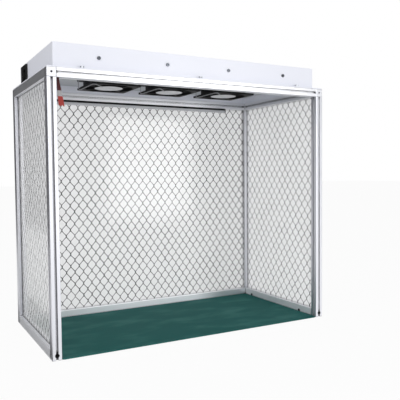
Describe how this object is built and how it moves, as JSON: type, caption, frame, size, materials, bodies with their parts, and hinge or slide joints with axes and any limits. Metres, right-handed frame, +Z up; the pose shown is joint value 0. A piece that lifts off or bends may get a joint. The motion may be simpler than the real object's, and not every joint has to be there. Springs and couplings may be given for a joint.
{
  "type": "laminar flow hood",
  "caption": "Bench-top laminar flow hood: slotted aluminium frame with printed film walls, open front, low white filter box with axial fans under it, light bar and work mat.",
  "frame": {"origin": "centre of the footprint, on the bench, under the middle of the frame", "axes": "+X to the right seen from the open front, +Y from the front to the back, +Z up"},
  "size_m": [0.7, 0.35, 0.643],
  "materials": {
    "anodised_profile": "matt anodised",
    "cast_cube": "blasted and anodised",
    "zinc_steel": "zinc plated",
    "black_steel": "black oxide",
    "printed_film": "milky, with a printed net of fine lines",
    "seal_rubber": "matt",
    "mat_rubber": "matt, finely grained",
    "white_sheet": "powder coated, smooth",
    "grey_sheet": "powder coated, matt",
    "cassette_board": "plain board",
    "filter_paper": "matt glass-fibre paper",
    "gasket_foam": "closed-cell foam",
    "fan_plastic": "moulded, satin",
    "label_foil": "matt foil without print",
    "lead_sleeve": "smooth",
    "light_black": "satin",
    "lens_milky": "milky",
    "inlet_plastic": "moulded",
    "contact_brass": "nickel-free brass",
    "ribbon_fabric": "woven, red with a white band"
  },
  "bodies": {
    "hood": {"post_front_left": "anodised_profile", "post_front_right": "anodised_profile", "post_rear_left": "anodised_profile", "post_rear_right": "anodised_profile", "top_rail_front": "anodised_profile", "top_rail_rear": "anodised_profile", "top_rail_left": "anodised_profile", "top_rail_right": "anodised_profile", "bottom_rail_left": "anodised_profile", "bottom_rail_right": "anodised_profile", "bottom_rail_rear": "anodised_profile", "corner_front_left": "cast_cube", "corner_front_right": "cast_cube", "corner_rear_left": "cast_cube", "corner_rear_right": "cast_cube", "foot_corner_left": "cast_cube", "foot_corner_right": "cast_cube", "corner_screws": "zinc_steel", "foot_screws": "black_steel", "rail_screws": "black_steel", "film_left": "printed_film", "film_right": "printed_film", "film_rear": "printed_film", "film_seals": "seal_rubber", "mat": "mat_rubber", "filter_box": "white_sheet", "fan_plate": "grey_sheet", "box_screws": "black_steel", "flange_screws": "black_steel", "slot_nuts": "zinc_steel", "filter_frame": "cassette_board", "filter_media": "filter_paper", "filter_gaskets": "gasket_foam", "intake_grille": "white_sheet", "grille_screws": "zinc_steel", "fan_frame_left": "fan_plastic", "fan_frame_middle": "fan_plastic", "fan_frame_right": "fan_plastic", "fan_motor_left": "fan_plastic", "fan_motor_middle": "fan_plastic", "fan_motor_right": "fan_plastic", "fan_label_left": "label_foil", "fan_label_middle": "label_foil", "fan_label_right": "label_foil", "fan_lead_left": "lead_sleeve", "fan_lead_middle": "lead_sleeve", "fan_lead_right": "lead_sleeve", "fan_screws": "black_steel", "light_housing": "light_black", "light_lens": "lens_milky", "light_caps": "light_black", "inlet_body": "inlet_plastic", "inlet_blades": "contact_brass", "airflow_ribbon": "ribbon_fabric"},
    "rotor_left": {"fan_rotor_left": "fan_plastic"},
    "rotor_middle": {"fan_rotor_middle": "fan_plastic"},
    "rotor_right": {"fan_rotor_right": "fan_plastic"},
    "fuse_drawer": {"fuse_drawer": "inlet_plastic"},
    "rocker": {"rocker_switch": "inlet_plastic"}
  },
  "joints": [
    {"name": "rotor_left_spin", "type": "hinge", "parent": "hood", "child": "rotor_left", "pos_m": [-0.16, 0, 0.59], "axis": [0, 0, 1], "continuous": true},
    {"name": "rotor_middle_spin", "type": "hinge", "parent": "hood", "child": "rotor_middle", "pos_m": [0, 0, 0.59], "axis": [0, 0, 1], "continuous": true},
    {"name": "rotor_right_spin", "type": "hinge", "parent": "hood", "child": "rotor_right", "pos_m": [0.16, 0, 0.59], "axis": [0, 0, 1], "continuous": true},
    {"name": "fuse_drawer_slide", "type": "slide", "parent": "hood", "child": "fuse_drawer", "axis": [-1, 0, 0], "range_m": [0, 0.018]},
    {"name": "rocker_tilt", "type": "hinge", "parent": "hood", "child": "rocker", "pos_m": [-0.334, 0.11335, 0.6135], "axis": [0, -1, 0], "range_deg": [0, 18]}
  ]
}
